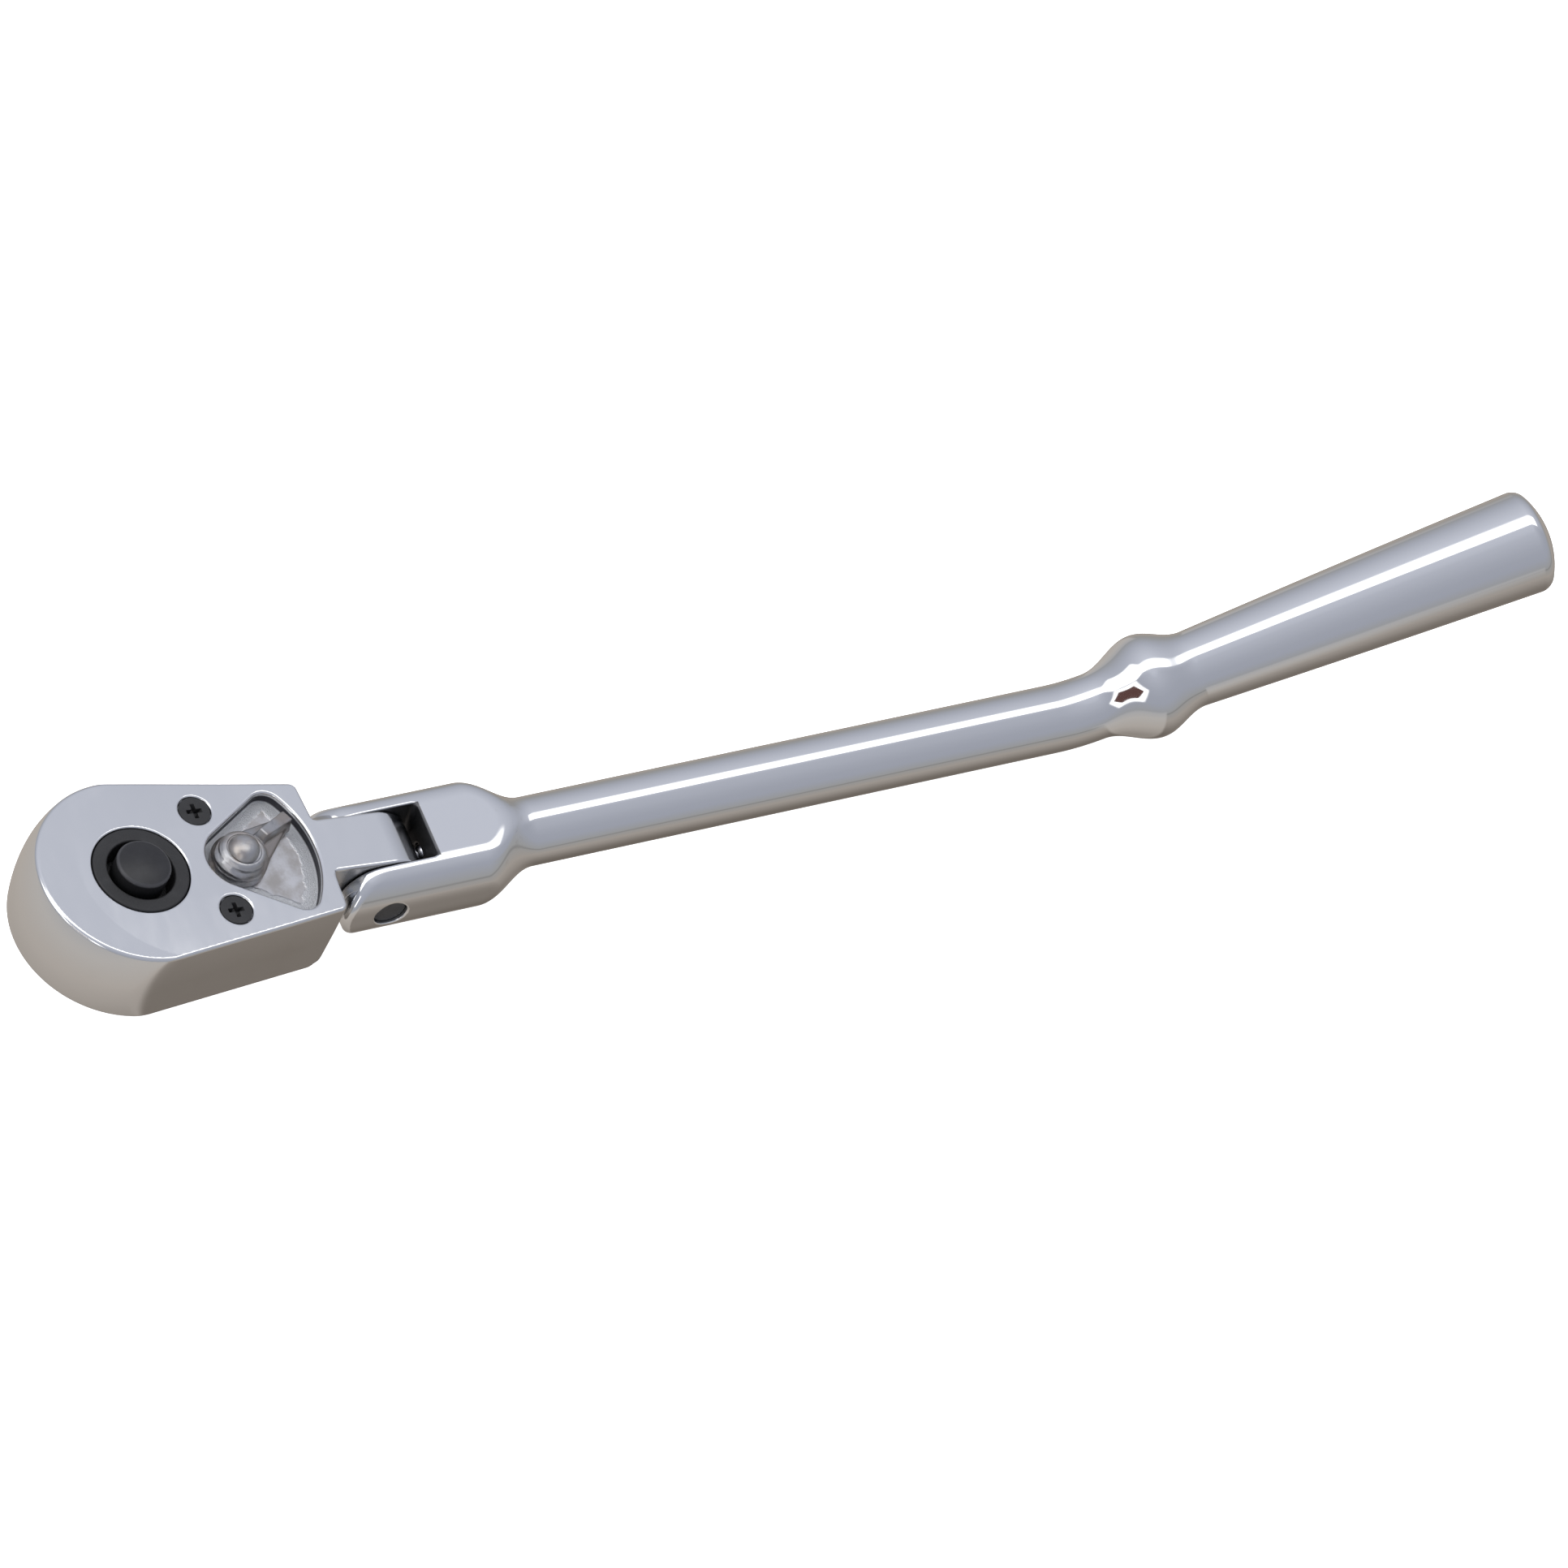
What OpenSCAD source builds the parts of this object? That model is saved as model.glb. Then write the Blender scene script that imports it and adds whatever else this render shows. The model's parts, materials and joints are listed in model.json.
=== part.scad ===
// Flex-head reversible ratchet wrench, 3/8 inch square drive, resting drive side down.
// The origin is the centre of the shoulder that the drive square stands on. +X runs from
// the head to the grip and +Z is up. Lengths are in millimetres, angles in degrees.

/* [Head] */
// Radius of the round nose of the head
nose_r = 17.8; // [17.4:0.1:18.2]
// Angle at which each side closes in towards the handle
side_taper = 8.4; // [7.8:0.1:9]
// Distance from the drive axis to the rear face
head_back_x = 33.4; // [33:0.1:33.6]
// Thickness of the head
head_t = 16.2; // [16.2:0.1:16.6]
// Radius of the rounded lower rear edge
heel_r = 4; // [3:0.5:4.5]
// Thickness of the plate that closes the underside
cover_t = 2.4; // [2.2:0.1:2.5]

/* [Square drive and quick release] */
// Width of the drive square across its flats
square_w = 9.525; // [9.4:0.005:9.525]
// Length of the drive square
square_len = 11; // [10.8:0.1:11.2]
// Number of teeth on the drive gear
tooth_count = 36; // [30:2:40]
// Radius to the tips of the gear teeth
gear_tip_r = 10.8; // [10.6:0.1:10.9]
// Radius of the gear's round top, which shows in the top face
gear_boss_r = 8.5; // [8.3:0.1:8.6]
// Radius of the release button
button_r = 4.7; // [4.5:0.1:4.9]
// Height of the button above the top face
button_proud = 2.35; // [2.2:0.05:2.5]
// How far the button is pressed to free a socket
button_travel = 2.2; // [2:0.05:2.2]
// Radius of the ball that holds a socket
socket_ball_r = 1.8; // [1.7:0.05:1.8]

/* [Reversing lever and pawl] */
// Distance from the drive axis to the lever's pivot
lever_x = 18.2; // [18.1:0.1:18.4]
// Angle of the lever's arm to the handle side, to the left at rest
lever_angle = 29; // [26:1:30]
// Reach of the lever's arm from its pivot
lever_reach = 12.2; // [11.5:0.1:12.4]
// Depth of the recess that the lever lies in
recess_depth = 2.3; // [2.1:0.1:2.5]
// Angle that the pawl rocks to each side of its middle
pawl_rock = 2; // [1:0.5:2]

/* [Flex joint] */
// Distance from the drive axis to the flex pin
flex_x = 45.1; // [45:0.1:45.6]
// Radius of the flex pin
flex_pin_r = 2.9; // [2.7:0.1:3]
// Width of the tongue on the head
tongue_w = 10.6; // [10.4:0.1:10.6]
// Width of the slot in the fork
slot_w = 10.8; // [10.8:0.1:11]
// Distance from the pin to the closed end of the slot
slot_back = 9; // [8.9:0.1:9.4]
// Angle that the handle stands above the plane of the head
handle_raise = 7.7; // [5:0.1:10]

/* [Handle] */
// Radius of the round outline of the fork
fork_r = 10.6; // [10.5:0.1:10.8]
// Half the height between the flats on the fork
fork_half_h = 8; // [7.8:0.1:8.2]
// Radius of the rounded ends of the fork's ears
ear_r = 8.4; // [8.2:0.1:8.6]
// Radius of the shaft
shaft_r = 6; // [5.8:0.1:6.2]
// Distance from the pin to the bend
shaft_len = 133.9; // [120:0.1:150]
// Angle of the bend, which lifts the grip
grip_bend = 17.3; // [12:0.1:20]
// Radius of the bend's centre line
bend_r = 28; // [24:1:30]
// Radius of the collar in front of the grip
collar_r = 9.43; // [9:0.01:9.6]
// Smallest radius of the grip
grip_neck_r = 6.9; // [6.6:0.1:7.2]
// Largest radius of the grip
grip_end_r = 9.36; // [9:0.01:9.6]
// Distance from the bend to the end of the grip
grip_len = 91.7; // [85:0.1:100]

/* [Hidden] */

$fn = 96;
eps = 0.01;          // overshoot of a cutting solid
fit_gap = 0.05;      // radial clearance of a running fit
mid_z = head_t / 2;  // height of the flex pin in the head

// Gear and square
tooth_depth = 0.9;
gear_low_z = cover_t + 0.2;
gear_high_z = 10.2;
journal_r = 8;
boss_hole_r = 5.8;
boss_hole_z = 10.9;
pocket_gap = 0.3;
plunger_r = 2;
plunger_low_z = -7.4;
plunger_bore_z = -9.9;
ball_z = -6;
ball_proud = 0.9;
ball_x = square_w / 2 + ball_proud - socket_ball_r;
ball_ramp = (ball_proud + 0.04) / button_travel;  // inward ball travel for each mm of plunger travel
stem_r = 1.4;
ring_groove_z = 12;  // groove round the gear's top for the drag ring
ring_groove_h = 1.2;
ring_wire_r = 0.5;

// Cover screws
screw_x = 13.6;
screw_y = 10.05;
screw_head_r = 2.85;
screw_r = 1.42;
screw_head_t = 1.6;

// Pawl, its pin and the lever's post
chamber_z = gear_high_z + 0.2;
pawl_pin_x = 13.6;
pawl_pin_r = 0.9;
pawl_low_z = gear_low_z + 0.1;
pawl_high_z = 9.5;
pawl_front_r = gear_tip_r + 0.95;
pawl_crest_r = gear_tip_r + 0.6;
pawl_back_r = 14;
pawl_half_angle = 33;
pawl_lobe_r = 3.9;
post_r = 1.8;
post_track_r = 2.95;     // the pawl's hollow back, round the post
selector_r = 0.8;
selector_z = 6;
selector_x = 1.9;        // from the post's axis to the centre of the selector ball

// Flex joint
tongue_r = mid_z;
detent_r = 1.95;
detent_bore_len = 12;

// Resting tilt of the head: the rear lower edge of the square and the handle both touch down
bend_point = [flex_x + shaft_len * cos(handle_raise), mid_z + shaft_len * sin(handle_raise)];
grip_angle = handle_raise + grip_bend;
collar_d = 14.5;
collar_point = bend_point + collar_d * [cos(grip_angle), sin(grip_angle)];
square_edge = [square_w / 2, -square_len];
function touch_angle(p, r) =
    atan2(p.y - square_edge.y, p.x - square_edge.x) - asin(r / norm(p - square_edge));
rest_tilt = min(touch_angle(bend_point, shaft_r), touch_angle(collar_point, collar_r));

// Points along an arc, and a value that eases from one level to another
function arc(c, r, a0, a1, n) =
    [for (i = [0:n]) c + r * [cos(a0 + (a1 - a0) * i / n), sin(a0 + (a1 - a0) * i / n)]];
function ease(from, to, u) = from + (to - from) * (1 - cos(180 * u)) / 2;
function polar(r, a) = [r * cos(a), r * sin(a)];

// Everything in the head is drawn with its lower face level, and everything in the handle
// with the pin at the origin and the shaft along X. These two put them in place.
module in_head() {
    rotate([0, rest_tilt, 0]) children();
}

module in_handle() {
    in_head() translate([flex_x, 0, mid_z]) rotate([0, -handle_raise, 0]) children();
}

// A round bar along Y, centred on the origin
module cross_bar(r, length) {
    rotate([90, 0, 0]) cylinder(r = r, h = length, center = true);
}

// A round bar along X from x0
module long_bar(r, x0, length) {
    translate([x0, 0, 0]) rotate([0, 90, 0]) cylinder(r = r, h = length);
}

// Two circles on the X axis, joined by the lines that touch both
module pear_outline(r1, x2, r2) {
    a = asin((r1 - r2) / x2);
    circle(r = r1);
    translate([x2, 0]) circle(r = r2);
    polygon([polar(r1, a - 90), [x2, 0] + polar(r2, a - 90),
             [x2, 0] + polar(r2, 90 - a), polar(r1, 90 - a)]);
}

// A coil of round wire up the Z axis, with its end turns on the ends of its length
module coil(mean_r, wire_r, length, turns) {
    steps = turns * 14;
    sides = 6;
    rise = length - 2 * wire_r;
    points = [for (i = [0:steps], k = [0:sides - 1])
        let (turn = 360 * turns * i / steps, ring = 360 * k / sides,
             r = mean_r + wire_r * cos(ring))
        [r * cos(turn), r * sin(turn), wire_r + rise * i / steps + wire_r * sin(ring)]];
    walls = [for (i = [0:steps - 1], k = [0:sides - 1])
        [i * sides + k, i * sides + (k + 1) % sides,
         (i + 1) * sides + (k + 1) % sides, (i + 1) * sides + k]];
    first = [for (k = [sides - 1:-1:0]) k];
    last = [for (k = [0:sides - 1]) steps * sides + k];
    polyhedron(points, concat([first], walls, [last]));
}

// ---- Handle ----

// Half outline of the fork's neck, from its full radius down to the shaft
neck_start = 17.4;
neck_end = 31;
function fork_profile() = concat(
    [[0, -12], [fork_r, -12]],
    [for (i = [0:8]) [ease(fork_r, shaft_r, i / 8), neck_start + (neck_end - neck_start) * i / 8]],
    [[0, neck_end]]);

// Half outline of the collar and the grip, measured along the grip from the bend
bend_tangent = bend_r * tan(grip_bend / 2);
bend_overlap = 0.8;      // how far the straight bars run into the bend
collar_foot = 23.2;
taper_end = 87;
corner_r = 2.5;
corner_turn = 55;
function grip_swell(u) = grip_neck_r + (grip_end_r - grip_neck_r) * (u + 0.045 * sin(180 * u));
corner_edge = [grip_end_r - corner_r, taper_end] + polar(corner_r, corner_turn - 20);
dome_h = grip_len - corner_edge.y;
dome_r = (corner_edge.x * corner_edge.x + dome_h * dome_h) / (2 * dome_h);
dome_angle = asin(corner_edge.x / dome_r);
function grip_profile() = concat(
    [[0, bend_tangent - bend_overlap], [shaft_r, bend_tangent - bend_overlap],
     [shaft_r, bend_tangent]],
    [for (i = [1:6]) [ease(shaft_r, collar_r, i / 6),
                      bend_tangent + (collar_d - bend_tangent) * i / 6]],
    [for (i = [1:6]) [ease(collar_r, grip_neck_r, i / 6),
                      collar_d + (collar_foot - collar_d) * i / 6]],
    [for (i = [1:6]) [grip_swell(i / 6), collar_foot + (taper_end - collar_foot) * i / 6]],
    arc([grip_end_r - corner_r, taper_end], corner_r, 15, corner_turn - 20, 2),
    [for (i = [1:4]) [dome_r * sin(dome_angle * (1 - i / 4)),
                      grip_len - dome_r + dome_r * cos(dome_angle * (1 - i / 4))]]);

module fork() {
    difference() {
        intersection() {
            rotate([0, 90, 0]) rotate_extrude() polygon(fork_profile());
            translate([-20, -fork_r + 0.3, -fork_half_h]) cube([60, 2 * fork_r - 0.6, 2 * fork_half_h]);
            union() {
                cross_bar(ear_r, 30);
                translate([0, -15, -15]) cube([50, 30, 30]);
            }
        }
        translate([-15, -slot_w / 2, -15]) cube([15 + slot_back, slot_w, 30]);
        cross_bar(flex_pin_r, 40);
        long_bar(detent_r + fit_gap, slot_back - 1, detent_bore_len + 1);
    }
}

module handle() {
    color("silver") in_handle() {
        fork();
        long_bar(shaft_r, neck_end, shaft_len - bend_tangent - neck_end + bend_overlap);
        translate([shaft_len - bend_tangent, 0, bend_r]) rotate([90, 0, 0]) rotate([0, 0, -90])
            rotate_extrude(angle = grip_bend) translate([bend_r, 0]) circle(r = shaft_r + 0.03);
        translate([shaft_len, 0, 0]) rotate([0, 90 - grip_bend, 0])
            rotate_extrude() polygon(grip_profile());
    }
}

// One end lies just inside its hole, the other is a low dome outside the fork
module flex_pin() {
    half = fork_r - 0.3;
    dome = 0.45;
    sphere_r = (flex_pin_r * flex_pin_r + dome * dome) / (2 * dome);
    color("dimgray") in_handle() intersection() {
        translate([0, -half + 0.4, 0]) rotate([-90, 0, 0])
            cylinder(r = flex_pin_r, h = 2 * half + dome);
        translate([0, half + dome - sphere_r, 0]) union() {
            sphere(r = sphere_r);
            rotate([90, 0, 0]) cylinder(r = sphere_r, h = 40);
        }
    }
}

module flex_detent_ball() {
    color("gainsboro") in_handle() translate([tongue_r + detent_r + 0.1, 0, 0]) sphere(r = detent_r);
}

module flex_detent_spring() {
    start = tongue_r + 2 * detent_r + 0.1;
    color("gray") in_handle() translate([start, 0, 0]) rotate([0, 90, 0])
        coil(1.45, 0.35, slot_back + detent_bore_len - start, 6);
}

// ---- Head ----

module head_outline() {
    rear_y = (nose_r - head_back_x * sin(side_taper)) / cos(side_taper);
    shoulder_x = head_back_x - 0.8;
    shoulder_y = (nose_r - shoulder_x * sin(side_taper)) / cos(side_taper);
    circle(r = nose_r);
    polygon([polar(nose_r, side_taper - 90), [shoulder_x, -shoulder_y], [head_back_x, -rear_y / 2],
             [head_back_x, rear_y / 2], [shoulder_x, shoulder_y], polar(nose_r, 90 - side_taper)]);
}

// Side view of the head, with its lower rear edge rounded
module head_side() {
    translate([-25, 0]) square([25 + head_back_x - heel_r, head_t]);
    translate([0, heel_r]) square([head_back_x, head_t - heel_r]);
    translate([head_back_x - heel_r, heel_r]) circle(r = heel_r);
}

module tongue() {
    translate([0, tongue_w / 2, 0]) rotate([90, 0, 0]) linear_extrude(tongue_w) {
        translate([head_back_x - heel_r - 1, 0]) square([flex_x - head_back_x + heel_r + 1, head_t]);
        translate([flex_x, mid_z]) circle(r = tongue_r);
    }
}

// Rounded triangle round the lever's hub, closed by an arc on the handle side
recess_hub_r = 6;
recess_corner = [26.4, 8.8];
recess_corner_r = 3;
recess_arc_x = 13;
module recess_outline() {
    reach = recess_corner - [lever_x, 0];
    lean = atan2(reach.y, reach.x) + 90 - asin((recess_hub_r - recess_corner_r) / norm(reach));
    hub_edge = [lever_x, 0] + polar(recess_hub_r, lean);
    side_edge = recess_corner + polar(recess_corner_r, lean);
    back_reach = recess_corner - [recess_arc_x, 0];
    back_r = norm(back_reach) + recess_corner_r;
    back_edge = [recess_arc_x, 0] + polar(back_r * 1.3, atan2(back_reach.y, back_reach.x));
    translate([lever_x, 0]) circle(r = recess_hub_r);
    for (s = [-1, 1]) translate([recess_corner.x, s * recess_corner.y]) circle(r = recess_corner_r);
    polygon([[hub_edge.x, -hub_edge.y], [side_edge.x, -side_edge.y],
             [recess_corner.x, -recess_corner.y], recess_corner, side_edge, hub_edge]);
    intersection() {
        translate([recess_arc_x, 0]) circle(r = back_r);
        polygon([[recess_arc_x, 0], [back_edge.x, -back_edge.y], back_edge]);
    }
}

// Room for the pawl and for the post behind it
module chamber_outline() {
    intersection() {
        circle(r = pawl_back_r + 0.4);
        polygon([[0, 0], polar(30, -pawl_half_angle - 4), polar(30, pawl_half_angle + 4)]);
    }
    translate([pawl_pin_x, 0]) circle(r = pawl_lobe_r + 0.35);
    translate([lever_x, 0]) circle(r = 3.4);
}

cover_nose_r = 15.4;
cover_tail_x = 18;
cover_tail_r = 10.8;
module cover_outline() {
    pear_outline(cover_nose_r, cover_tail_x, cover_tail_r);
}

module screw_places() {
    for (s = [-1, 1]) translate([screw_x, s * screw_y, 0]) children();
}

module head_body() {
    color("lightgray") in_head() difference() {
        union() {
            intersection() {
                linear_extrude(head_t) head_outline();
                translate([0, 30, 0]) rotate([90, 0, 0]) linear_extrude(60) head_side();
            }
            tongue();
        }
        translate([0, 0, -eps]) linear_extrude(cover_t + eps) cover_outline();
        cylinder(r = gear_tip_r + pocket_gap, h = chamber_z);
        cylinder(r = gear_boss_r + fit_gap, h = head_t + 1);
        linear_extrude(chamber_z) chamber_outline();
        translate([0, 0, head_t - recess_depth]) linear_extrude(recess_depth + 1) recess_outline();
        translate([lever_x, 0, 0]) cylinder(r = post_r + fit_gap, h = head_t);
        translate([pawl_pin_x, 0, 0]) cylinder(r = pawl_pin_r, h = chamber_z + 1.6);
        screw_places() {
            cylinder(r = screw_r + 0.08, h = head_t);
            translate([0, 0, head_t - screw_head_t - fit_gap])
                cylinder(r1 = screw_r, r2 = screw_head_r, h = screw_head_t);
            translate([0, 0, head_t - fit_gap]) cylinder(r = screw_head_r, h = 1);
        }
        translate([flex_x, 0, mid_z]) cross_bar(flex_pin_r + fit_gap, 40);
    }
}

module cover_plate() {
    color("lightgray") in_head() difference() {
        linear_extrude(cover_t) cover_outline();
        translate([0, 0, -eps]) cylinder(r = journal_r + fit_gap, h = cover_t + 1);
        translate([0, 0, -eps]) screw_places() cylinder(r = screw_r, h = cover_t + 1);
        translate([pawl_pin_x, 0, cover_t - 1.4]) cylinder(r = pawl_pin_r, h = 2);
    }
}

module cross_recess(arm, width, depth) {
    for (a = [0, 90]) rotate([0, 0, a]) translate([-arm, -width / 2, -depth])
        cube([2 * arm, width, depth + 1]);
}

module cover_screws() {
    color([0.15, 0.15, 0.16]) in_head() screw_places() difference() {
        union() {
            translate([0, 0, 0.2]) cylinder(r = screw_r, h = head_t - screw_head_t - 0.2);
            translate([0, 0, head_t - screw_head_t - fit_gap])
                cylinder(r1 = screw_r, r2 = screw_head_r, h = screw_head_t);
        }
        translate([0, 0, head_t - fit_gap]) cross_recess(1.6, 0.55, 1);
    }
}

// ---- Drive ----

module gear_outline() {
    pitch = 360 / tooth_count;
    land = pitch * 0.12;
    root_r = gear_tip_r - tooth_depth;
    polygon([for (i = [0:tooth_count - 1])
        each [polar(root_r, i * pitch), polar(gear_tip_r, (i + 0.5) * pitch - land / 2),
              polar(gear_tip_r, (i + 0.5) * pitch + land / 2)]]);
}

// Side view of the square, with its end bevelled
module square_side() {
    half = square_w / 2;
    bevel = 0.8;
    polygon([[-half, 1], [-half, bevel - square_len], [bevel - half, -square_len],
             [half - bevel, -square_len], [half, bevel - square_len], [half, 1]]);
}

module drive_gear() {
    color([0.2, 0.2, 0.21]) in_head() difference() {
        union() {
            intersection() {
                translate([0, 10, 0]) rotate([90, 0, 0]) linear_extrude(20) square_side();
                translate([-10, 0, 0]) rotate([90, 0, 90]) linear_extrude(20) square_side();
                translate([0, 0, -20]) cylinder(r = square_w * 0.68, h = 30);
            }
            cylinder(r = journal_r, h = gear_low_z + 1);
            translate([0, 0, gear_low_z]) linear_extrude(gear_high_z - gear_low_z) gear_outline();
            translate([0, 0, gear_low_z + 1]) cylinder(r = gear_boss_r, h = head_t - gear_low_z - 1);
        }
        translate([0, 0, boss_hole_z]) cylinder(r = boss_hole_r, h = head_t);
        translate([0, 0, plunger_bore_z]) cylinder(r = plunger_r + fit_gap, h = 30);
        translate([0, 0, ball_z]) long_bar(socket_ball_r + fit_gap, 0, 10);
        translate([0, 0, ring_groove_z]) difference() {
            cylinder(r = gear_boss_r + 1, h = ring_groove_h);
            translate([0, 0, -1]) cylinder(r = gear_boss_r - 2 * ring_wire_r - 0.05, h = 4);
        }
    }
}

module gear_drag_ring() {
    color([0.1, 0.1, 0.1]) in_head() translate([0, 0, ring_groove_z + ring_groove_h / 2])
        rotate_extrude() translate([gear_boss_r - ring_wire_r, 0]) circle(r = ring_wire_r, $fn = 24);
}

module release_button() {
    top = head_t + button_proud;
    edge = top - 0.7;
    low = boss_hole_z + button_travel + 0.1;
    ceiling = top - 1.7;
    dome_r = (button_r * button_r + 0.7 * 0.7) / 1.4;
    color([0.12, 0.12, 0.13]) in_head() difference() {
        intersection() {
            translate([0, 0, low]) cylinder(r = button_r, h = top - low);
            translate([0, 0, top - dome_r]) union() {
                sphere(r = dome_r);
                translate([0, 0, -40]) cylinder(r = dome_r, h = 40);
            }
        }
        difference() {
            translate([0, 0, low - 1]) cylinder(r = button_r - 0.8, h = ceiling - low + 1);
            translate([0, 0, low - 1]) cylinder(r = stem_r + 0.7, h = 10);
        }
        translate([0, 0, low - 1]) cylinder(r = stem_r, h = ceiling - low + 1);
    }
}

// The wide foot of the plunger holds the ball out. When the button is pressed the cone
// above the foot comes down beside the ball and lets it in, at ball_ramp mm for each mm.
module release_plunger() {
    slope = sqrt(1 + ball_ramp * ball_ramp);
    reach = socket_ball_r + 0.06;
    touch = [ball_x - reach / slope, ball_z - reach * ball_ramp / slope];
    foot_z = touch.y + (touch.x - plunger_r) / ball_ramp;
    neck_r = 0.8;
    neck_z = foot_z + (plunger_r - neck_r) / ball_ramp;
    color("silver") in_head() rotate_extrude() polygon([
        [0, plunger_low_z], [plunger_r, plunger_low_z], [plunger_r, foot_z], [neck_r, neck_z],
        [neck_r, -2.9], [plunger_r, -1.8], [plunger_r, boss_hole_z - 0.3],
        [stem_r, boss_hole_z - 0.3], [stem_r, head_t + button_proud - 1.7],
        [0, head_t + button_proud - 1.7]]);
}

module button_spring() {
    color("gray") in_head() translate([0, 0, boss_hole_z])
        coil(3, 0.3, head_t + button_proud - 1.7 - boss_hole_z, 5);
}

module socket_ball() {
    color("gainsboro") in_head() translate([ball_x, 0, ball_z]) sphere(r = socket_ball_r);
}

// ---- Reversing lever and pawl ----

// The lever's own frame: the pivot at the origin, the arm along X, the recess floor at z = 0
module at_lever() {
    in_head() translate([lever_x, 0, head_t - recess_depth]) rotate([0, 0, lever_angle]) children();
}

lever_lift = 0.15;
module reversing_lever() {
    wedge_w = 1.5;
    color("silver") at_lever() difference() {
        union() {
            rotate_extrude() polygon([[0, lever_lift], [5.2, lever_lift], [5.2, 1.3], [4.9, 1.7],
                                      [4.3, 2.1], [4.1, 2.9], [3.6, 3.4], [0, 3.4]]);
            translate([0, 0, lever_lift]) linear_extrude(1.9)
                polygon([[0, -5.1], [3.2, -4.1], [lever_reach - 0.5, -1.3], [lever_reach, -0.8],
                         [lever_reach, 0.8], [lever_reach - 0.5, 1.3], [3.2, 4.1], [0, 5.1]]);
            translate([0, wedge_w / 2, lever_lift]) rotate([90, 0, 0]) linear_extrude(wedge_w)
                polygon([[3, 0], [3, 3], [5.2, 4.1], [lever_reach - 0.4, 2.6], [lever_reach - 0.4, 0]]);
        }
        translate([0, 0, -1]) cylinder(r = post_r, h = 10);
        translate([0, 0, 3.4 - eps]) cylinder(r = 3.6, h = 3);
    }
}

// Post with a domed head on top of the lever, and a cross hole for the selector ball
module lever_post() {
    cap_z = 3.4;
    cap_r = 2.7;
    cap_h = 1.8;
    low = pawl_low_z - (head_t - recess_depth);
    sphere_r = (cap_r * cap_r + cap_h * cap_h) / (2 * cap_h);
    color("silver") at_lever() difference() {
        union() {
            translate([0, 0, low]) cylinder(r = post_r, h = cap_z - low + 0.5);
            intersection() {
                translate([0, 0, cap_z]) cylinder(r = cap_r, h = cap_h);
                translate([0, 0, cap_z + cap_h - sphere_r]) sphere(r = sphere_r);
            }
        }
        translate([0, 0, selector_z - head_t + recess_depth])
            long_bar(selector_r + fit_gap, -5, 6.2);
        translate([0, 0, clip_z - head_t + recess_depth]) difference() {
            cylinder(r = post_r + 1, h = clip_t);
            translate([0, 0, -1]) cylinder(r = clip_bore_r, h = 3);
        }
    }
}

// Split ring that holds the post up under the roof of the chamber
clip_t = 0.5;
clip_z = chamber_z - clip_t - 0.1;
clip_bore_r = 1.4;
module post_clip() {
    color("gray") in_head() translate([lever_x, 0, clip_z]) rotate([0, 0, lever_angle])
        difference() {
            cylinder(r = 2.8, h = clip_t);
            translate([0, 0, -1]) cylinder(r = clip_bore_r, h = 3);
            translate([0, -1, -1]) cube([5, 2, 3]);
        }
}

module at_selector() {
    in_head() translate([lever_x, 0, selector_z]) rotate([0, 0, lever_angle + 180]) children();
}

module selector_ball() {
    color("gainsboro") at_selector() translate([selector_x, 0, 0]) sphere(r = selector_r);
}

module selector_spring() {
    color("gray") at_selector() translate([-1.2, 0, 0]) rotate([0, 90, 0])
        coil(0.55, 0.15, selector_x - selector_r + 1.2, 5);
}

module pawl_outline() {
    pitch = 360 / tooth_count;
    difference() {
        union() {
            intersection() {
                circle(r = pawl_back_r);
                polygon([[0, 0], polar(30, -pawl_half_angle), polar(30, pawl_half_angle)]);
            }
            translate([pawl_pin_x, 0]) circle(r = pawl_lobe_r);
        }
        circle(r = pawl_front_r);
        translate([lever_x, 0]) circle(r = post_track_r);
        translate([pawl_pin_x, 0]) circle(r = pawl_pin_r + fit_gap);
    }
    for (s = [-1, 1], i = [0:2]) rotate([0, 0, s * (pawl_half_angle - pitch * (i + 0.5))])
        polygon([polar(pawl_crest_r, 0), polar(pawl_front_r + 0.3, -pitch * 0.42),
                 polar(pawl_front_r + 0.3, pitch * 0.42)]);
}

module pawl() {
    color("dimgray") in_head() translate([pawl_pin_x, 0, pawl_low_z]) rotate([0, 0, -pawl_rock])
        translate([-pawl_pin_x, 0, 0]) linear_extrude(pawl_high_z - pawl_low_z) pawl_outline();
}

module pawl_pin() {
    color("silver") in_head() translate([pawl_pin_x, 0, cover_t - 1.4])
        cylinder(r = pawl_pin_r, h = chamber_z + 1.6 - cover_t + 1.4);
}

handle();
flex_pin();
flex_detent_ball();
flex_detent_spring();
head_body();
cover_plate();
cover_screws();
drive_gear();
gear_drag_ring();
release_button();
release_plunger();
button_spring();
socket_ball();
reversing_lever();
lever_post();
post_clip();
selector_ball();
selector_spring();
pawl();
pawl_pin();
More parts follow.
